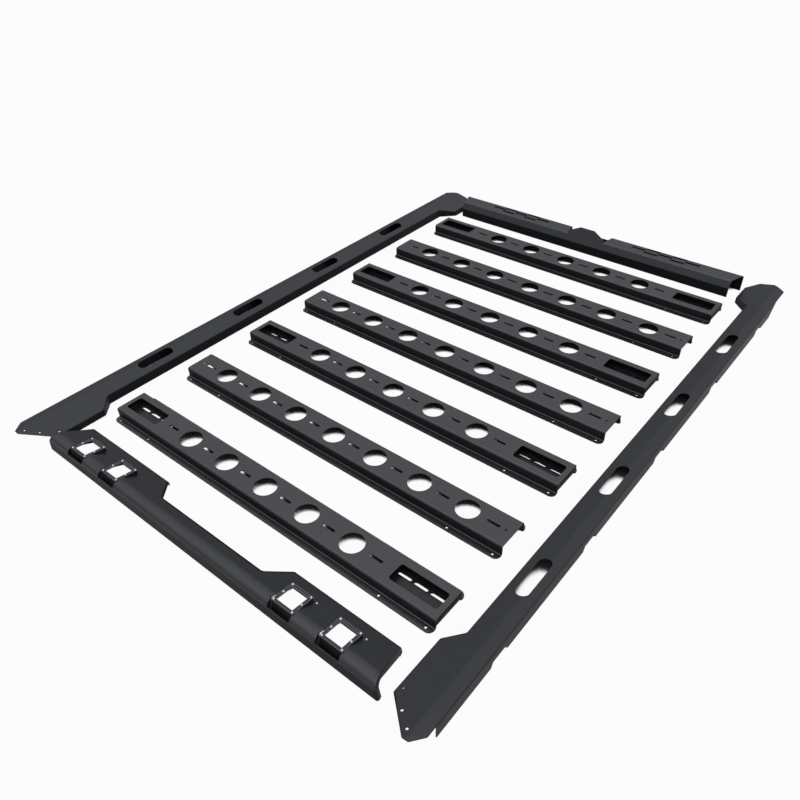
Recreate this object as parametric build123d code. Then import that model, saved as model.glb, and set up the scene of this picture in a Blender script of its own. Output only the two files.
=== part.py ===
from build123d import *
import os

# A flat platform roof rack, knocked down: its folded-sheet pieces lie on the floor in the order
# in which they bolt together. X runs along the cross slats, Y from the front fairing to the rear
# bar and Z up. The origin is on the floor, midway between the side rails and between their ends.

# The whole rack
rail_span = 1515.0          # outer face of one rail to outer face of the other
rail_length = 2168.0        # nose tip to rear end

# Sheet metal
sheet = 3.0                 # thickness of every folded sheet
bend_inside = 3.0           # inside radius of a sharp fold
bend_outside = bend_inside + sheet

# Side rails, lying on their flanges with the web up
rail_web_width = 80.0
rail_strip_width = 31.0     # level strip along the outer edge, up to the fold in the web
rail_fold_r = 40.0
rail_outer_height = 44.0
rail_inner_height = 33.0    # at the straight inner edge
nose_width = 120.0          # outer face to inner face at the nose
nose_tip_outer = 24.0       # from the outer face to the blunt tip's near corner
nose_tip_inner = 40.0       # and to its far corner
nose_outer_length = 31.0    # tip to the start of the straight outer edge
nose_slant_length = 71.0
nose_inner_length = 230.0   # tip to the step that ends the nose
nose_step_length = 42.0
tail_width = 132.0          # outer face to inner face at the rear end
tail_length = 190.0         # step included
tail_step_length = 52.0
tail_outer_chamfer = (42.0, 36.0)
tail_inner_chamfer = (38.0, 48.0)
rail_corner_r = 9.0
rail_slot_count = 4
rail_slot_length = 130.0
rail_slot_width = 34.0
rail_slot_front = 481.0     # nose tip to the first slot's centre
rail_slot_rear = 487.0      # last slot's centre to the rear end
lip_front = 59.0            # the outer flange starts this far behind the nose tip
lip_rear = 126.0            # and ends this far before the rear end
lip_rear_taper = 45.0
lip_notch_length = 65.0     # notches in the outer flange's lower edge, midway between the slots
lip_notch_taper = 8.0
lip_notch_depth = 16.0
nose_holes = ((42.5, 21.0), (76.5, 47.0), (108.5, 88.0))    # from the outer face and the nose tip
tail_hole = (44.0, 12.0)    # from the outer face and the rear end
rail_hole_r = 3.2
rail_slope = (rail_outer_height - rail_inner_height) / (rail_web_width - rail_strip_width)
rail_slot_pitch = (rail_length - rail_slot_front - rail_slot_rear) / (rail_slot_count - 1)

# Front fairing
fairing_front_gap = 43.0        # from the rails' nose tips
fairing_end_gap = 9.5           # from the noses' inner faces, on the floor
fairing_centre_x = -6.5
fairing_depth = 123.0
fairing_crest_height = 65.0     # where the front and top faces would meet
fairing_crest_r = 25.0
fairing_rear_height = 12.0
fairing_rim = 14.0              # depth of the folded rim at each end
end_lean_y = 0.29               # the mitred ends come in by this much for each step to the rear
end_lean_z = 0.18               # and for each step up
fairing_half_length = rail_span / 2 - nose_width - fairing_end_gap
fairing_front_y = fairing_front_gap - rail_length / 2

# Lamp frames, in a pair at each end of the fairing
frame_size = 67.0
frame_opening = 50.0
frame_front_wall = 38.0     # depth of the front wall, which closes the gap before the frame
frame_y = 49.0              # centre, behind the fairing's front edge
frame_z = 48.0
frame_tilt = 8.0            # degrees down to the rear
frame_end_gap = 144.3       # outer frame's centre to the fairing's end
frame_pitch = 149.0
cut_depth = 19.0            # the cut-out's lower edge, under the frame's face
cut_slit = 3.5              # the cut-out is this much wider on the left in front
cut_slit_end = 26.0         # where that widening stops, in front of the frame's centre
frame_far = fairing_half_length - frame_end_gap
frame_near = frame_far - frame_pitch
frame_rows = (-frame_far, -frame_near, frame_near, frame_far)
frame_seat = Pos(0, frame_y, frame_z) * Rot(-frame_tilt, 0, 0)

# The recess in the fairing's rear edge
recess_depth = 60.0
recess_left_gap = 106.2     # inner frame's centre to the recess, at the rear edge
recess_right_gap = 71.2
recess_left_run = 64.0      # sideways run of the slanting left side
recess_right_run = 46.0
recess_corner_r = 12.0

# Rear bar
bar_rear_gap = 39.0         # from the rails' rear ends
bar_end_gap = 8.5           # from the rails' inner faces there
bar_flare = 22.0            # each end is this much longer at the rear edge than in front
bar_centre_x = -6.5
bar_depth = 82.0
bar_face_height = 34.0
bar_shoulder = 15.0
bar_height = 61.0
bar_bend_r = 9.0
bar_slot_count = 3          # in the middle row, with one fewer in the rows beside it
bar_slot_length = 58.0
bar_slot_width = 11.0
bar_slot_pitch = 108.0
bar_slot_row_gap = 15.5
bar_slot_y = 53.0           # from the front face to the middle row
bar_group_gap = 270.0       # middle of each slot group, from the bar's end
bar_tab_length = 156.0      # a tab stands up in the shoulder's plane, with the top cut away behind it
bar_tab_top_length = 60.0
bar_tab_height = 34.0
bar_tab_side_height = 10.0
bar_tab_root = 10.0         # how far down the shoulder its sheet is joined
bar_gap_drop = 17.0         # how far down the rear wall the gap behind the tab goes
bar_gap_flare = 14.0        # and how much wider than the tab it is there, on each side
bar_rear_half_length = rail_span / 2 - tail_width - bar_end_gap
bar_half_length = bar_rear_half_length - bar_flare
bar_front_y = rail_length / 2 - bar_rear_gap - bar_depth

# Cross slats, hat section
slat_count = 7
slat_end_gap = 74.5         # from the rails' straight inner faces
slat_front_gap = 136.0      # fairing's rear edge to the front slat's centre line
slat_rear_gap = 157.4       # rear slat's centre line to the rear bar
slat_centre_x = 5.5
slat_top_width = 100.0
slat_flange_width = 20.0
slat_height = 34.0
slat_corner_r = 16.0
long_row_count = 7          # round holes in a slat without windows
short_row_count = 5         # and in one with windows
slat_hole_r = 33.0
slat_hole_gap = 136.5       # last hole of a long row to the slat's end
tie_slot_length = 40.0
tie_slot_width = 8.0
tie_slot_gap = 77.8         # last round hole to the slot beyond it
window_length = 142.0
window_width = 53.0
window_end_gap = 15.0
window_corner_r = 8.0
flange_hole_r = 3.5
flange_hole_gaps = (20.0, 158.0)    # from the slat's end
end_hole_r = 3.5
end_hole_gap = 22.0
slat_length = rail_span - 2 * (rail_web_width + slat_end_gap)
slat_hole_pitch = (slat_length - 2 * slat_hole_gap) / (long_row_count - 1)
slat_first_y = fairing_front_y + fairing_depth + slat_front_gap
slat_pitch = (bar_front_y - slat_rear_gap - slat_first_y) / (slat_count - 1)

# Foot plates inside the windowed slats
foot_length = 170.0
foot_slot_count = 3
foot_slot_length = 40.0
foot_slot_width = 8.0
foot_slot_pitch = 48.5
foot_slot_y = 17.0          # behind the slat's centre line
foot_slot_gap = 92.5        # from the slat's end to the middle slot

past = 60.0                 # how far a cut runs beyond what it cuts


def closed(points):
    return make_face(Polyline(*points, close=True))


def prism(outline, low, high):
    """A solid on a plan outline, between two heights."""
    return extrude(Pos(0, 0, low) * outline, amount=high - low)


def along_x(section, half):
    """A solid on a section in Y and Z, reaching as far to the left as to the right."""
    return extrude(Plane.YZ * section, amount=half, both=True)


def spread(count, pitch):
    """Offsets of evenly pitched features about their middle."""
    return [(i - (count - 1) / 2) * pitch for i in range(count)]


def rail_outline():
    """The right rail's plan, with its outer face on x = 0 and its nose tip on y = 0."""
    tail_start = rail_length - tail_length
    face = closed([
        (0, nose_outer_length),
        (-nose_tip_outer, 0),
        (-nose_tip_inner, 0),
        (-nose_width, nose_slant_length),
        (-nose_width, nose_inner_length),
        (-rail_web_width, nose_inner_length + nose_step_length),
        (-rail_web_width, tail_start),
        (-tail_width, tail_start + tail_step_length),
        (-tail_width, rail_length - tail_inner_chamfer[1]),
        (-tail_width + tail_inner_chamfer[0], rail_length),
        (-tail_outer_chamfer[0], rail_length),
        (0, rail_length - tail_outer_chamfer[1]),
    ])
    return fillet(face.vertices(), rail_corner_r)


def under_web(drop):
    """All the room under the rail's sloping web, lowered by drop."""
    left, right, fold = -tail_width - past, past, -rail_strip_width
    roof = rail_outer_height - drop
    inner = roof - rail_slope * (fold - left)
    side = closed([(right, 0), (right, roof), (fold, roof), (left, inner), (left, 0)])
    side = fillet([v for v in side.vertices() if abs(v.X - fold) < sheet], rail_fold_r)
    middle = rail_length / 2
    return Pos(0, middle, 0) * extrude(Plane.XZ * side, amount=middle + past, both=True)


def rail_block(outline, drop, radius):
    """The room inside an outline and under the web, with its upper edges rounded."""
    block = prism(outline, 0, rail_outer_height + past) & under_web(drop)
    tops = [face for face in block.faces() if face.normal_at().Z > 0.5]
    edges = [edge for face in tops for edge in face.edges()]
    return fillet([edge for edge in edges if edges.count(edge) == 1], radius)


def rail_cuts():
    """Slots and holes through the web, in plan."""
    slot = Rot(0, 0, 90) * SlotOverall(rail_slot_length, rail_slot_width)
    cuts = []
    for i in range(rail_slot_count):
        cuts.append(Pos(-rail_web_width / 2, rail_slot_front + i * rail_slot_pitch) * slot)
    for inward, along in (*nose_holes, (tail_hole[0], rail_length - tail_hole[1])):
        cuts.append(Pos(-inward, along) * Circle(rail_hole_r))
    return cuts


def lip_cuts():
    """What is missing from the outer flange, seen from the side."""
    end = rail_length - lip_rear
    back = rail_length + past
    cuts = [closed([
        (end - lip_rear_taper, 0), (end, rail_outer_height), (back, rail_outer_height), (back, 0),
    ])]
    half = lip_notch_length / 2
    top = half - lip_notch_taper
    notch = closed([(-half, 0), (-top, lip_notch_depth), (top, lip_notch_depth), (half, 0)])
    for i in range(rail_slot_count + 1):
        cuts.append(Pos(rail_slot_front + (i - 0.5) * rail_slot_pitch, 0) * notch)
    return cuts


def bare_ends():
    """The nose's front and the tail's rear, which carry no flange, in plan."""
    left, right = -tail_width - past, past
    nose_side = nose_slant_length + rail_corner_r
    tail = rail_length - max(tail_outer_chamfer[1], tail_inner_chamfer[1]) - rail_corner_r
    back = rail_length + past
    nose = closed([
        (right, -past), (right, lip_front), (0, lip_front),
        (-nose_width, nose_side), (left, nose_side), (left, -past),
    ])
    return [nose, closed([(right, tail), (right, back), (left, back), (left, tail)])]


def side_rail():
    """The right rail: a lid-like shell whose nose and tail edges carry no flange."""
    outline = rail_outline()
    tall = rail_outer_height + past
    under = under_web(sheet)
    body = rail_block(outline, 0, bend_outside) - rail_block(offset(outline, -sheet), sheet, bend_inside)
    for cut in rail_cuts():
        body = body - prism(cut, 0, tall)
    for cut in lip_cuts():
        body = body - (along_x(cut, bend_outside) & under)
    for end in bare_ends():
        body = body - (prism(end, 0, tall) & under)
    return body


def hat_section():
    half_top = slat_top_width / 2
    half_all = half_top + slat_flange_width
    inner = half_top - sheet
    under = slat_height - sheet
    face = closed([
        (-half_all, 0), (-inner, 0), (-inner, under), (inner, under), (inner, 0), (half_all, 0),
        (half_all, sheet), (half_top, sheet), (half_top, slat_height),
        (-half_top, slat_height), (-half_top, sheet), (-half_all, sheet),
    ])
    for radius, corners in (
        (bend_outside, ((half_top, slat_height), (inner, 0))),
        (bend_inside, ((half_top, sheet), (inner, under))),
    ):
        for y, z in corners:
            picked = [v for v in face.vertices() if abs(abs(v.X) - y) + abs(v.Y - z) < sheet / 100]
            face = fillet(picked, radius)
    return face


def slat_holes(windowed):
    """Everything cut through a slat, in plan."""
    row_count = short_row_count if windowed else long_row_count
    holes = [Pos(x, 0) * Circle(slat_hole_r) for x in spread(row_count, slat_hole_pitch)]
    last = (row_count - 1) / 2 * slat_hole_pitch + tie_slot_gap
    for x in (-last, *spread(row_count - 1, slat_hole_pitch), last):
        holes.append(Pos(x, 0) * SlotOverall(tie_slot_length, tie_slot_width))
    flange_y = (slat_top_width + slat_flange_width) / 2
    for side in (-1, 1):
        end = side * slat_length / 2
        if windowed:
            window = RectangleRounded(window_length, window_width, window_corner_r)
            holes.append(Pos(end - side * (window_end_gap + window_length / 2), 0) * window)
        else:
            holes.append(Pos(end - side * end_hole_gap, 0) * Circle(end_hole_r))
        for gap in flange_hole_gaps:
            for row in (-flange_y, flange_y):
                holes.append(Pos(end - side * gap, row) * Circle(flange_hole_r))
    return holes


def cross_slat(windowed):
    """A slat centred on the origin in plan, standing on its flanges."""
    width = slat_top_width + 2 * slat_flange_width
    body = along_x(hat_section(), slat_length / 2)
    body = body & prism(RectangleRounded(slat_length, width, slat_corner_r), 0, slat_height)
    for hole in slat_holes(windowed):
        body = body - prism(hole, -sheet, slat_height + sheet)
    return body


def foot_plate(side):
    """The slotted plate between a windowed slat's walls, turned up at its left (-1) or right (1) end."""
    end = side * slat_length / 2
    inner, floor, top = end - side * sheet, bend_outside, slat_height - bend_outside
    edge = end - side * foot_length
    angle = closed([
        (edge, floor), (end, floor), (end, top), (inner, top), (inner, floor + sheet), (edge, floor + sheet),
    ])
    for radius, (x, z) in ((bend_outside, (end, floor)), (bend_inside, (inner, floor + sheet))):
        angle = fillet([v for v in angle.vertices() if abs(v.X - x) + abs(v.Y - z) < sheet / 100], radius)
    body = extrude(Plane.XZ * angle, amount=slat_top_width / 2 - sheet, both=True)
    slot = SlotOverall(foot_slot_length, foot_slot_width)
    for x in spread(foot_slot_count, foot_slot_pitch):
        body = body - prism(Pos(end - side * foot_slot_gap + x, foot_slot_y) * slot, 0, slat_height)
    return body


def bent_profile(points, radii):
    """The room under a bent sheet, in Y and Z, from well below the floor up to its outer skin."""
    face = closed([(points[0][0], -2 * past), *points, (points[-1][0], -2 * past)])
    for (y, z), radius in zip(points, radii):
        corner = [v for v in face.vertices() if abs(v.X - y) + abs(v.Y - z) < sheet / 100]
        face = fillet(corner, radius)
    return face


def above_floor(body):
    return body & (Pos(0, 0, past) * Box(2 * rail_span, 2 * rail_length, 2 * past))


def end_plane(side, inset):
    """The slanting plane of one of the fairing's ends."""
    outward = Vector(side, end_lean_y, end_lean_z).normalized()
    return Plane(origin=Vector(side * fairing_half_length, 0, 0) - outward * inset, z_dir=outward)


def between_ends(body, inset, radius):
    """The part of a body between the fairing's ends, with the edges round both ends rounded."""
    for side in (-1, 1):
        plane = end_plane(side, inset)
        body = split(body, bisect_by=plane, keep=Keep.BOTTOM)
        end = body.faces().sort_by(lambda face: face.normal_at().dot(plane.z_dir))[-1]
        body = fillet([edge for edge in end.edges() if edge.center().Z > -past], radius)
    return body


def fairing_skin():
    """The room under the fairing's outer skin, in Y and Z."""
    points = [(0, fairing_crest_height), (fairing_depth, fairing_rear_height)]
    return bent_profile(points, [fairing_crest_r, bend_outside])


def frame_cut():
    """The cut-out that a lamp frame stands in, seen square to the frame's face."""
    half = frame_size / 2
    front = -frame_y - past
    return closed([
        (half, half), (-half, half), (-half, 0), (-half - cut_slit, -cut_slit_end),
        (-half - cut_slit, front), (half, front),
    ])


def rear_recess():
    """The recess in the fairing's rear edge, in plan."""
    left, right = recess_left_gap - frame_near, frame_near - recess_right_gap
    front, back = fairing_depth - recess_depth, fairing_depth + past
    face = closed([
        (left + recess_left_run, front), (right - recess_right_run, front),
        (right, fairing_depth), (right, back), (left, back), (left, fairing_depth),
    ])
    return fillet([v for v in face.vertices() if v.Y < back - sheet], recess_corner_r)


def front_fairing():
    """A sheet folded over its crest, with rims at its mitred ends and a cut-out for each lamp frame."""
    skin = fairing_skin()
    reach = fairing_half_length + past
    body = between_ends(along_x(skin, reach), 0, bend_outside)
    body = body - between_ends(along_x(offset(skin, -sheet), reach), sheet, bend_inside)
    body = above_floor(body - along_x(offset(skin, -fairing_rim), reach))
    body = body - prism(rear_recess(), -past, 2 * past)
    for x in frame_rows:
        body = body - Pos(x, 0, 0) * frame_seat * prism(frame_cut(), -cut_depth, past)
    return body


def lamp_frame():
    """A square bezel on a collar that reaches down to the fairing's sheet, with a deeper front wall."""
    square = Rectangle(frame_size, frame_size)
    inside = frame_size - 2 * sheet
    bezel = prism(square - Rectangle(frame_opening, frame_opening), -sheet, 0)
    collar = frame_seat * prism(square - Rectangle(inside, inside), -frame_front_wall, -sheet)
    collar = collar - along_x(offset(fairing_skin(), -sheet), frame_size)
    front = prism(Pos(0, (sheet - frame_size) / 2) * Rectangle(frame_size, sheet), -frame_front_wall, 0)
    return collar + frame_seat * (bezel + front)


def bar_plan():
    """The rear bar's plan: straight over the front and shoulder, then flaring to the rear edge."""
    half, wide = bar_half_length, bar_rear_half_length
    return closed([
        (-half, 0), (half, 0), (half, bar_shoulder), (wide, bar_depth),
        (-wide, bar_depth), (-half, bar_shoulder),
    ])


def bar_slots():
    """Two groups of three staggered rows of slots."""
    slots = []
    for side in (-1, 1):
        middle = side * (bar_half_length - bar_group_gap)
        for row in (-1, 0, 1):
            for x in spread(bar_slot_count - abs(row), bar_slot_pitch):
                place = Pos(middle + x, bar_slot_y + row * bar_slot_row_gap)
                slots.append(place * SlotOverall(bar_slot_length, bar_slot_width))
    return slots


def bar_tab():
    """The tab, in the plane of the shoulder's outer skin, and the gap behind it."""
    up = Vector(0, bar_shoulder, bar_height - bar_face_height).normalized()
    across = Vector(1, 0, 0)
    skin = Plane(origin=(0, bar_shoulder, bar_height), x_dir=across, z_dir=across.cross(up))
    half, top = bar_tab_length / 2, bar_tab_top_length / 2
    face = closed([
        (-half, -bar_tab_root), (half, -bar_tab_root), (half, bar_tab_side_height), (top, bar_tab_height),
        (-top, bar_tab_height), (-half, bar_tab_side_height),
    ])
    wide, back = half + bar_gap_flare, bar_depth + sheet
    behind = skin * Pos(0, 0, -sheet - past) * Box(2 * bar_tab_length, 2 * past, 2 * past)
    opening = closed([(-half, 0), (half, 0), (wide, back), (-wide, back)])
    gap = behind & prism(opening, bar_height - bar_gap_drop, bar_height + past)
    return extrude(skin * face, amount=-sheet), gap


def rear_bar():
    points = [(0, bar_face_height), (bar_shoulder, bar_height), (bar_depth, bar_height)]
    skin = bent_profile(points, [bar_bend_r] * 3)
    body = along_x(skin - offset(skin, -sheet), bar_rear_half_length)
    body = body & prism(bar_plan(), 0, bar_height)
    for slot in bar_slots():
        body = body - prism(slot, bar_face_height, bar_height + past)
    tab, gap = bar_tab()
    return body - gap + tab


def save(name, body):
    export_step(body.solids()[0], f"parts/{name}.step")


os.makedirs("parts", exist_ok=True)

rail = Pos(rail_span / 2, -rail_length / 2, 0) * side_rail()
save("side_rail_right", rail)
save("side_rail_left", mirror(rail, about=Plane.YZ))

at_front = Pos(fairing_centre_x, fairing_front_y, 0)
save("front_fairing", at_front * front_fairing())
for number, x in enumerate(frame_rows, start=1):
    save(f"lamp_frame_{number}", at_front * Pos(x, 0, 0) * lamp_frame())

save("rear_bar", Pos(bar_centre_x, bar_front_y, 0) * rear_bar())

for number in range(1, slat_count + 1):
    windowed = number % 2 == 1
    place = Pos(slat_centre_x, slat_first_y + (number - 1) * slat_pitch, 0)
    save(f"cross_slat_{number}", place * cross_slat(windowed))
    if windowed:
        save(f"foot_plate_{number}_left", place * foot_plate(-1))
        save(f"foot_plate_{number}_right", place * foot_plate(1))
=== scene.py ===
import math

import bmesh
import bpy
from mathutils import Matrix, Vector


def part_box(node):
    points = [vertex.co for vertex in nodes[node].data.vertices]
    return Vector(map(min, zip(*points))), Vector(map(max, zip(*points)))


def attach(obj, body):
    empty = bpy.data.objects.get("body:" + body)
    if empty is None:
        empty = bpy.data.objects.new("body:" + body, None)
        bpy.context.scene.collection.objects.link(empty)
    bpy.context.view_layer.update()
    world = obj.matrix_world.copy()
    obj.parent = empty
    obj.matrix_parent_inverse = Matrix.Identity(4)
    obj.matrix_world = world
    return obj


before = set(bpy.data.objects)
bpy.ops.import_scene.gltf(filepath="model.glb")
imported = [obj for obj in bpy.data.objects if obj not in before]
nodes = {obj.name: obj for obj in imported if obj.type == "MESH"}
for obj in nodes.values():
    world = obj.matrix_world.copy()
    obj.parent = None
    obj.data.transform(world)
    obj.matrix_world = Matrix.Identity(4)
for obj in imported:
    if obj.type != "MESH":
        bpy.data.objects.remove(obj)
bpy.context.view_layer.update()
print("frame loaded:", len(nodes), "nodes")

mixA, mixB, mixResult = 6, 7, 2  # the colour sockets of a Mix node


def addNode(tree, kind, **settings):
    node = tree.nodes.new(kind)
    for name, value in settings.items():
        setattr(node, name, value)
    return node


def wire(tree, fromNode, output, toNode, socket):
    tree.links.new(fromNode.outputs[output], toNode.inputs[socket])


def newGroup(name, inputs, outputs):
    group = bpy.data.node_groups.new(name, "ShaderNodeTree")
    for label, kind, default in inputs:
        socket = group.interface.new_socket(label, in_out="INPUT", socket_type=kind)
        socket.default_value = default
    for label, kind in outputs:
        group.interface.new_socket(label, in_out="OUTPUT", socket_type=kind)
    return group, group.nodes.new("NodeGroupInput"), group.nodes.new("NodeGroupOutput")


def noise(tree, scaleFrom, scaleSocket, detail, roughness):
    where = addNode(tree, "ShaderNodeTexCoord")
    texture = addNode(tree, "ShaderNodeTexNoise")
    texture.inputs["Detail"].default_value = detail
    texture.inputs["Roughness"].default_value = roughness
    wire(tree, where, "Object", texture, "Vector")
    wire(tree, scaleFrom, scaleSocket, texture, "Scale")
    return texture


def mapRange(tree, fromNode, output, band, result=(0.0, 1.0)):
    node = addNode(tree, "ShaderNodeMapRange")
    node.inputs["From Min"].default_value, node.inputs["From Max"].default_value = band
    node.inputs["To Min"].default_value, node.inputs["To Max"].default_value = result
    wire(tree, fromNode, output, node, "Value")
    return node


coatTexture = {
    "cloudDetail": 4.0, "cloudRoughness": 0.55, "cloudBand": (0.35, 0.68), "sheenBand": (0.3, 0.7),
    "grainDetail": 2.0, "grainRoughness": 0.5, "grainBand": (0.3, 0.75), "fleck": (0.85, 1.2),
    "levelBand": (0.05, 0.75),  # from steep faces to those that look up: painted sheen, the coat reflects more on faces that look up and less on steep walls
}


# fine orange peel, cloudy colour, uneven sheen, and a painted sheen on faces that look up
def powderCoatGroup():
    group, given, result = newGroup(
        "powderCoat",
        [
            ("Coat Color", "NodeSocketColor", (0.02, 0.02, 0.022, 1)),
            ("Cloud Color", "NodeSocketColor", (0.03, 0.03, 0.033, 1)),
            ("Cloud Scale", "NodeSocketFloat", 4.0),
            ("Grain Scale", "NodeSocketFloat", 900.0),
            ("Sheen Low", "NodeSocketFloat", 0.38),
            ("Sheen High", "NodeSocketFloat", 0.5),
            ("Gloss", "NodeSocketFloat", 0.9),
        ],
        [
            ("Color", "NodeSocketColor"),
            ("Roughness", "NodeSocketFloat"),
            ("Height", "NodeSocketFloat"),
            ("Gloss", "NodeSocketFloat"),
        ],
    )
    clouds = noise(group, given, "Cloud Scale", coatTexture["cloudDetail"], coatTexture["cloudRoughness"])
    cloudMask = mapRange(group, clouds, "Fac", coatTexture["cloudBand"])
    tint = addNode(group, "ShaderNodeMix", data_type="RGBA")
    wire(group, cloudMask, "Result", tint, "Factor")
    wire(group, given, "Coat Color", tint, mixA)
    wire(group, given, "Cloud Color", tint, mixB)

    grain = noise(group, given, "Grain Scale", coatTexture["grainDetail"], coatTexture["grainRoughness"])
    speck = mapRange(group, grain, "Fac", coatTexture["grainBand"], coatTexture["fleck"])
    fleck = addNode(group, "ShaderNodeMix", data_type="RGBA", blend_type="MULTIPLY")
    fleck.inputs["Factor"].default_value = 1.0
    wire(group, tint, mixResult, fleck, mixA)
    wire(group, speck, "Result", fleck, mixB)
    wire(group, fleck, mixResult, result, "Color")

    sheen = mapRange(group, clouds, "Fac", coatTexture["sheenBand"])
    wire(group, given, "Sheen Low", sheen, "To Min")
    wire(group, given, "Sheen High", sheen, "To Max")
    wire(group, sheen, "Result", result, "Roughness")
    wire(group, grain, "Fac", result, "Height")

    # painted sheen: the coat's weight follows how far a face looks up, so tops read lighter and steep
    # walls darker; smooth carries this mask times Gloss
    where = addNode(group, "ShaderNodeTexCoord")
    facing = addNode(group, "ShaderNodeSeparateXYZ")
    wire(group, where, "Normal", facing, "Vector")
    level = mapRange(group, facing, "Z", coatTexture["levelBand"])
    smooth = addNode(group, "ShaderNodeMath", operation="MULTIPLY")
    wire(group, level, "Result", smooth, 0)
    wire(group, given, "Gloss", smooth, 1)
    wire(group, smooth, "Value", result, "Gloss")
    return group


edgeTexture = {
    "samples": 8,
    "levelBand": (0.9, 0.95),  # the painted shade line at the rear edge counts on level sheet only, not round a bend
}


# how far the surface turns away near an edge, in any direction and to the rear
def edgeLeanGroup():
    group, given, result = newGroup(
        "edgeLean",
        [("Width", "NodeSocketFloat", 0.002)],
        [("Any", "NodeSocketFloat"), ("Rear", "NodeSocketFloat")],
    )
    rounded = addNode(group, "ShaderNodeBevel", samples=edgeTexture["samples"])
    wire(group, given, "Width", rounded, "Radius")
    flat = addNode(group, "ShaderNodeNewGeometry")
    lean = addNode(group, "ShaderNodeVectorMath", operation="SUBTRACT")
    wire(group, rounded, "Normal", lean, 0)
    wire(group, flat, "Normal", lean, 1)
    length = addNode(group, "ShaderNodeVectorMath", operation="LENGTH")
    wire(group, lean, "Vector", length, 0)
    wire(group, length, "Value", result, "Any")

    leanParts = addNode(group, "ShaderNodeSeparateXYZ")
    wire(group, lean, "Vector", leanParts, "Vector")
    facing = addNode(group, "ShaderNodeSeparateXYZ")
    wire(group, flat, "Normal", facing, "Vector")
    upward = mapRange(group, facing, "Z", edgeTexture["levelBand"])
    rear = addNode(group, "ShaderNodeMath", operation="MULTIPLY")
    wire(group, leanParts, "Y", rear, 0)
    wire(group, upward, "Result", rear, 1)
    wire(group, rear, "Value", result, "Rear")
    return group


powderCoat = powderCoatGroup()
edgeLean = edgeLeanGroup()

coatLayer = {"ior": 1.6, "roughness": 0.3, "bumpDistance": 0.0004}  # the same on every coat
# one black powder coat in several copies; their Gloss and ior differ from part to part to paint how
# brightly each part shows under the light: painted light and shade
coats = {
    "slatBlack": {
        "Coat Color": (0.0105, 0.0107, 0.0111, 1), "Cloud Color": (0.0150, 0.0152, 0.0158, 1),
        "Cloud Scale": 3.0, "Grain Scale": 1100.0, "Sheen Low": 0.42, "Sheen High": 0.5, "Gloss": 1.0,
        "ior": 1.09, "bump": 0.10,
    },
    "railBlack": {
        "Coat Color": (0.0068, 0.0074, 0.0088, 1), "Cloud Color": (0.0100, 0.0108, 0.0128, 1),
        "Cloud Scale": 2.2, "Grain Scale": 1100.0, "Sheen Low": 0.38, "Sheen High": 0.46, "Gloss": 0.6,
        "ior": 1.12, "bump": 0.08,
    },
    "endBlack": {
        "Coat Color": (0.0070, 0.0074, 0.0084, 1), "Cloud Color": (0.0104, 0.0110, 0.0124, 1),
        "Cloud Scale": 2.6, "Grain Scale": 1100.0, "Sheen Low": 0.38, "Sheen High": 0.46, "Gloss": 0.95,
        "ior": 1.08, "bump": 0.08,
    },
    "frameBlack": {
        "Coat Color": (0.010, 0.010, 0.0108, 1), "Cloud Color": (0.016, 0.016, 0.0172, 1),
        "Cloud Scale": 14.0, "Grain Scale": 1400.0, "Sheen Low": 0.34, "Sheen High": 0.42, "Gloss": 0.8,
        # the lamp frames' edges get a painted highlight: a light grey line where the surface turns round
        # an edge
        "ior": 1.10, "bump": 0.08, "edge": "Any", "edgeBand": (0.14, 0.55),
        "edgeColor": (0.19, 0.19, 0.195, 1), "edgeWidth": 0.0020, "edgeGloss": 1.0,
    },
    "plateBlack": {
        "Coat Color": (0.008, 0.008, 0.0086, 1), "Cloud Color": (0.013, 0.013, 0.0138, 1),
        "Cloud Scale": 9.0, "Grain Scale": 900.0, "Sheen Low": 0.5, "Sheen High": 0.6, "Gloss": 0.5,
        "ior": 1.10, "bump": 0.15,
    },
}
# the fairing's rear edge gets a painted shade line: near black, with the coat's reflection taken away
# there
coats["fairingBlack"] = {
    **coats["endBlack"], "edge": "Rear", "edgeBand": (0.02, 0.08),
    "edgeColor": (0.001, 0.001, 0.001, 1), "edgeWidth": 0.011, "edgeGloss": 0.0,
}
finishes = {
    "cross_slat": "slatBlack", "side_rail": "railBlack", "rear_bar": "endBlack",
    "front_fairing": "fairingBlack", "lamp_frame": "frameBlack", "foot_plate": "plateBlack",
}


# a painted line along the edges: a painted highlight on the lamp frames, a painted shade line at the
# fairing's rear
def paintedEdgeLine(tree, values, coat, shader):
    lean = addNode(tree, "ShaderNodeGroup", node_tree=edgeLean)
    lean.inputs["Width"].default_value = values["edgeWidth"]
    line = mapRange(tree, lean, values["edge"], values["edgeBand"])
    tint = addNode(tree, "ShaderNodeMix", data_type="RGBA")
    tint.inputs[mixB].default_value = values["edgeColor"]
    wire(tree, line, "Result", tint, "Factor")
    wire(tree, coat, "Color", tint, mixA)
    wire(tree, tint, mixResult, shader, "Base Color")
    kept = mapRange(tree, line, "Result", (0.0, 1.0), (1.0, values["edgeGloss"]))
    gloss = addNode(tree, "ShaderNodeMath", operation="MULTIPLY")
    wire(tree, coat, "Gloss", gloss, 0)
    wire(tree, kept, "Result", gloss, 1)
    wire(tree, gloss, "Value", shader, "Coat Weight")


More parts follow.
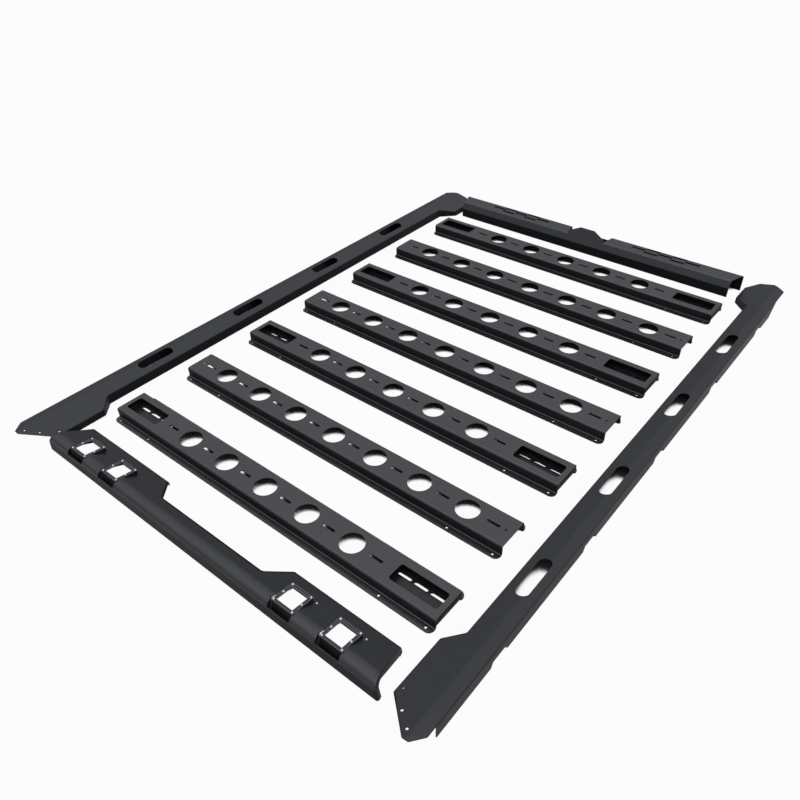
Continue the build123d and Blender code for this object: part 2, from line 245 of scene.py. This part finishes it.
def coatMaterial(name):
    values = coats[name]
    material = bpy.data.materials.new(name)
    material.use_nodes = True
    tree = material.node_tree
    shader = tree.nodes["Principled BSDF"]
    coat = addNode(tree, "ShaderNodeGroup", node_tree=powderCoat)
    for socket in coat.inputs:
        socket.default_value = values[socket.name]
    shader.inputs["IOR"].default_value = values["ior"]
    shader.inputs["Coat IOR"].default_value = coatLayer["ior"]
    shader.inputs["Coat Roughness"].default_value = coatLayer["roughness"]
    bump = addNode(tree, "ShaderNodeBump")
    bump.inputs["Strength"].default_value = values["bump"]
    bump.inputs["Distance"].default_value = coatLayer["bumpDistance"]
    wire(tree, coat, "Height", bump, "Height")
    wire(tree, bump, "Normal", shader, "Normal")
    wire(tree, coat, "Roughness", shader, "Roughness")
    if "edge" in values:
        paintedEdgeLine(tree, values, coat, shader)
    else:
        wire(tree, coat, "Color", shader, "Base Color")
        wire(tree, coat, "Gloss", shader, "Coat Weight")
    return material


coatMaterials = {name: coatMaterial(name) for name in coats}
for name, node in nodes.items():
    finish = next(finishes[start] for start in finishes if name.startswith(start))
    node.data.materials.clear()
    node.data.materials.append(coatMaterials[finish])
print("powder coat on", len(nodes), "nodes")


zinc = {
    "scratchScale": 700.0, "scratchDetail": 3.0, "scratchBand": (0.3, 0.7), "roughness": (0.22, 0.42),
    "dark": (0.56, 0.57, 0.58, 1), "light": (0.78, 0.79, 0.80, 1),
}
bolts = {
    "headRadius": 0.0030, "headHeight": 0.0018, "socketRadius": 0.0014, "socketDepth": 0.0009, "steps": 20,
    "crown": ((1.0, 0.0), (1.0, 0.35), (0.9, 0.75), (0.68, 1.0)),  # shares of the head's radius and height
    "spots": ((-1, -1), (1, -1), (1, 1), (-1, 1), (-1, 0), (1, 0)),  # round the bezel of a lamp frame
    "bezelMiddle": 0.0293, "tilt": 8.0, "faceHalf": 0.0335,
    "sheetOut": 0.0085, "sheetBack": -0.001, "dropFrom": 1.0,  # beside the frame, found from above
}


def zincMaterial():
    material = bpy.data.materials.new("zincBolt")
    material.use_nodes = True
    tree = material.node_tree
    shader = tree.nodes["Principled BSDF"]
    shader.inputs["Metallic"].default_value = 1.0
    where = addNode(tree, "ShaderNodeTexCoord")
    scratches = addNode(tree, "ShaderNodeTexNoise")
    scratches.inputs["Scale"].default_value = zinc["scratchScale"]
    scratches.inputs["Detail"].default_value = zinc["scratchDetail"]
    wire(tree, where, "Object", scratches, "Vector")
    rough = mapRange(tree, scratches, "Fac", zinc["scratchBand"], zinc["roughness"])
    wire(tree, rough, "Result", shader, "Roughness")
    ramp = addNode(tree, "ShaderNodeValToRGB")
    ramp.color_ramp.elements[0].color = zinc["dark"]
    ramp.color_ramp.elements[1].color = zinc["light"]
    wire(tree, scratches, "Fac", ramp, "Fac")
    wire(tree, ramp, "Color", shader, "Base Color")
    return material


zincBolt = zincMaterial()


def ring(mesh, place, radius, height, hexagon):
    steps = bolts["steps"]
    side = math.pi / 3
    points = []
    for i in range(steps):
        turn = 2 * math.pi * i / steps
        reach = radius
        if hexagon:  # with as many points as the round rings
            reach = radius * math.cos(side / 2) / math.cos(turn % side - side / 2)
        spot = Vector((reach * math.cos(turn), reach * math.sin(turn), height))
        points.append(mesh.verts.new(place @ spot))
    return points


def bridge(mesh, low, high):
    for i in range(len(low)):
        j = (i + 1) % len(low)
        mesh.faces.new((low[i], low[j], high[j], high[i])).smooth = True


# a domed head with a hexagon socket
def addBolt(mesh, place):
    radius, top = bolts["headRadius"], bolts["headHeight"]
    bottom = top - bolts["socketDepth"]
    rings = [ring(mesh, place, radius * across, top * up, False) for across, up in bolts["crown"]]
    rings += [ring(mesh, place, bolts["socketRadius"], height, True) for height in (top, bottom)]
    for low, high in zip(rings, rings[1:]):
        bridge(mesh, low, high)
    mesh.faces.new(rings[-1])
    mesh.faces.new(list(reversed(rings[0])))


def addPiece(name, mesh):
    bmesh.ops.recalc_face_normals(mesh, faces=mesh.faces)
    data = bpy.data.meshes.new(name)
    mesh.to_mesh(data)
    mesh.free()
    data.materials.append(zincBolt)
    piece = bpy.data.objects.new(name, data)
    bpy.context.collection.objects.link(piece)
    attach(piece, "root")


def frameFace(name):
    low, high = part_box(name)
    tilt = math.radians(bolts["tilt"])
    half = bolts["faceHalf"]
    centre = Vector(((low[0] + high[0]) / 2, 0, 0))
    # the face tilts down to the rear: its front edge is the highest, its rear edge the rearmost
    centre.z = high[2] - half * math.sin(tilt)
    centre.y = high[1] - half * math.cos(tilt)
    return Matrix.Translation(centre) @ Matrix.Rotation(-tilt, 4, "X")


for number in range(1, 5):
    face = frameFace(f"lamp_frame_{number}")
    mesh = bmesh.new()
    reach = bolts["bezelMiddle"]
    for x, y in bolts["spots"]:
        addBolt(mesh, face @ Matrix.Translation((x * reach, y * reach, 0.0)))
    addPiece(f"lampBolts{number}", mesh)


def sheetPlace(x, y):
    fairing = nodes["front_fairing"]
    toLocal = fairing.matrix_world.inverted()
    start = toLocal @ Vector((x, y, bolts["dropFrom"]))
    hit, spot, normal, _ = fairing.ray_cast(start, toLocal.to_3x3() @ Vector((0, 0, -1)))
    if not hit:
        raise RuntimeError("no fairing sheet under a bolt")
    spot = fairing.matrix_world @ spot
    normal = fairing.matrix_world.to_3x3() @ normal
    return Matrix.Translation(spot) @ normal.to_track_quat("Z", "X").to_matrix().to_4x4()


# two more bolts hold the fairing's sheet beside the right pair of lamp frames
mesh = bmesh.new()
for name in ("lamp_frame_3", "lamp_frame_4"):
    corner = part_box(name)[1]
    addBolt(mesh, sheetPlace(corner[0] + bolts["sheetOut"], corner[1] + bolts["sheetBack"]))
addPiece("sheetBolts", mesh)
print("bolt heads set")


floorSetup = {
    "half": 150.0, "drop": 0.0006, "white": 0.96,
    "color": (0.30, 0.30, 0.30, 1), "shade": (0.08, 0.08, 0.08, 1),  # in the open, and a darker painted shadow under the pieces
    "openReach": 0.2, "samples": 64, "openBand": (0.17, 0.23),  # how open to the sky it is to read white; less open floor shows painted shadow
    "fairingDepth": 0.041, "noseLength": 0.24, "tailLength": 0.2,  # where the edge patches begin and end
}
floorGain = {  # what lifts that openness, at the front slat and at the rear one, so the painted shadow is weaker where it is lifted
    "openFloor": None,  # white all over
    "edgeFloor": (1.0, 1.0),  # under the rails, the bar and the fairing's front
    "slatFloor": (1.0, 1.8),  # under the slats
    "plateFloor": (2.4, 1.0),  # under the foot plates, in the end windows
}
floorSlots = list(floorGain)
slats = [name for name in nodes if name.startswith("cross_slat")]


def seenShare(tree):
    path = addNode(tree, "ShaderNodeLightPath")
    seen = addNode(tree, "ShaderNodeMath", operation="MAXIMUM")
    wire(tree, path, "Is Camera Ray", seen, 0)
    wire(tree, path, "Is Glossy Ray", seen, 1)
    seenAll = addNode(tree, "ShaderNodeMath", operation="MAXIMUM")
    wire(tree, seen, "Value", seenAll, 0)
    wire(tree, path, "Is Transmission Ray", seenAll, 1)
    share = addNode(tree, "ShaderNodeMath", operation="MULTIPLY")
    share.inputs[1].default_value = floorSetup["white"]
    wire(tree, seenAll, "Value", share, 0)
    return share


# painted shadow: the floor's white is cut back where ambient occlusion finds it covered, lifted by a gain
# that changes from front to rear
def openShare(tree, gain):
    openSky = addNode(tree, "ShaderNodeAmbientOcclusion", samples=floorSetup["samples"])
    openSky.inputs["Distance"].default_value = floorSetup["openReach"]
    where = addNode(tree, "ShaderNodeTexCoord")
    along = addNode(tree, "ShaderNodeSeparateXYZ")
    wire(tree, where, "Object", along, "Vector")
    fronts = [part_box(name)[0][1] for name in slats]
    lift = mapRange(tree, along, "Y", (min(fronts), max(fronts)), gain)
    lifted = addNode(tree, "ShaderNodeMath", operation="MULTIPLY")
    wire(tree, openSky, "AO", lifted, 0)
    wire(tree, lift, "Result", lifted, 1)
    return mapRange(tree, lifted, "Value", floorSetup["openBand"])


def floorMaterial(name):
    material = bpy.data.materials.new(name)
    material.use_nodes = True
    tree = material.node_tree
    tree.nodes.clear()
    gain = floorGain[name]
    share = seenShare(tree)
    if gain:
        both = addNode(tree, "ShaderNodeMath", operation="MULTIPLY")
        wire(tree, share, "Value", both, 0)
        wire(tree, openShare(tree, gain), "Result", both, 1)
        share = both
    matte = addNode(tree, "ShaderNodeBsdfDiffuse")
    matte.inputs["Color"].default_value = floorSetup["shade" if gain else "color"]
    glow = addNode(tree, "ShaderNodeEmission")
    blend = addNode(tree, "ShaderNodeMixShader")
    wire(tree, share, "Value", blend, "Fac")
    wire(tree, matte, "BSDF", blend, 1)
    wire(tree, glow, "Emission", blend, 2)
    output = addNode(tree, "ShaderNodeOutputMaterial")
    wire(tree, blend, "Shader", output, "Surface")
    return material


# where the floor lies under a piece and gets painted shadow, and what it shows there
def floorPatches():
    patches = [(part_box(name), "slatFloor") for name in slats]
    for name in nodes:
        low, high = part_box(name)
        if name.startswith("foot_plate"):
            patches.append(((low, high), "plateFloor"))
        elif name == "rear_bar":
            patches.append(((low, high), "edgeFloor"))
        elif name == "front_fairing":
            patches.append(((low, (high[0], low[1] + floorSetup["fairingDepth"])), "edgeFloor"))
        elif name.startswith("side_rail"):
            front, rear = low[1] + floorSetup["noseLength"], high[1] - floorSetup["tailLength"]
            patches.append((((low[0], front), (high[0], rear)), "edgeFloor"))
    return patches


# the floor is one sheet, cut along the patches, and a later patch covers an earlier one
def floorSheet():
    half, level = floorSetup["half"], -floorSetup["drop"]
    patches = floorPatches()
    acrossCuts, alongCuts = [
        sorted({-half, half} | {corner[axis] for box, _ in patches for corner in box}) for axis in (0, 1)
    ]
    sheet = bmesh.new()
    grid = [[sheet.verts.new((x, y, level)) for x in acrossCuts] for y in alongCuts]
    for near, far in zip(grid, grid[1:]):
        for i in range(len(acrossCuts) - 1):
            face = sheet.faces.new((near[i], near[i + 1], far[i + 1], far[i]))
            middle = face.calc_center_median()
            for (low, high), slot in patches:
                if low[0] < middle.x < high[0] and low[1] < middle.y < high[1]:
                    face.material_index = floorSlots.index(slot)
    data = bpy.data.meshes.new("floor")
    sheet.to_mesh(data)
    sheet.free()
    for name in floorSlots:
        data.materials.append(floorMaterial(name))
    return data


floor = bpy.data.objects.new("floor", floorSheet())
bpy.context.collection.objects.link(floor)

studio = {
    "dim": 0.19, "bright": 1.65, "color": (0.965, 0.985, 1.05, 1),  # a bright ceiling over a dim room
    "toward": (0.138, -0.177, 0.975),  # the ceiling is brightest over the front and right
}


def studioWorld():
    world = bpy.data.worlds.new("studio")
    world.use_nodes = True
    tree = world.node_tree
    tree.nodes.clear()
    where = addNode(tree, "ShaderNodeTexCoord")
    height = addNode(tree, "ShaderNodeVectorMath", operation="DOT_PRODUCT")
    height.inputs[1].default_value = studio["toward"]
    wire(tree, where, "Generated", height, 0)
    level = mapRange(tree, height, "Value", (0.0, 1.0), (studio["dim"], studio["bright"]))
    light = addNode(tree, "ShaderNodeBackground")
    light.inputs["Color"].default_value = studio["color"]
    wire(tree, level, "Result", light, "Strength")
    output = addNode(tree, "ShaderNodeOutputWorld")
    wire(tree, light, "Background", output, "Surface")
    return world


bpy.context.scene.world = studioWorld()
print("floor and light set")

cameraSetup = {
    "place": (1.1835, -1.6066, 1.4104), "yaw": 40.39, "pitch": 38.28, "roll": 1.65,
    "lens": 33.12, "sensor": 36.0, "clipEnd": 600.0,
}


def cameraMatrix():
    yaw, pitch, roll = (math.radians(cameraSetup[turn]) for turn in ("yaw", "pitch", "roll"))
    right = Vector((math.cos(yaw), math.sin(yaw), 0))
    ahead = Vector((-math.sin(yaw) * math.cos(pitch), math.cos(yaw) * math.cos(pitch), -math.sin(pitch)))
    down = ahead.cross(right)
    tiltedRight = math.cos(roll) * right + math.sin(roll) * down
    tiltedDown = -math.sin(roll) * right + math.cos(roll) * down
    axes = Matrix((tiltedRight, -tiltedDown, -ahead)).transposed()
    return Matrix.Translation(cameraSetup["place"]) @ axes.to_4x4()


camera = bpy.data.cameras.new("camera")
camera.lens = cameraSetup["lens"]
camera.sensor_width = cameraSetup["sensor"]
camera.clip_end = cameraSetup["clipEnd"]
cameraObject = bpy.data.objects.new("camera", camera)
bpy.context.collection.objects.link(cameraObject)
cameraObject.matrix_world = cameraMatrix()
bpy.context.scene.camera = cameraObject
bpy.context.scene.view_settings.view_transform = "Standard"
print("camera set")
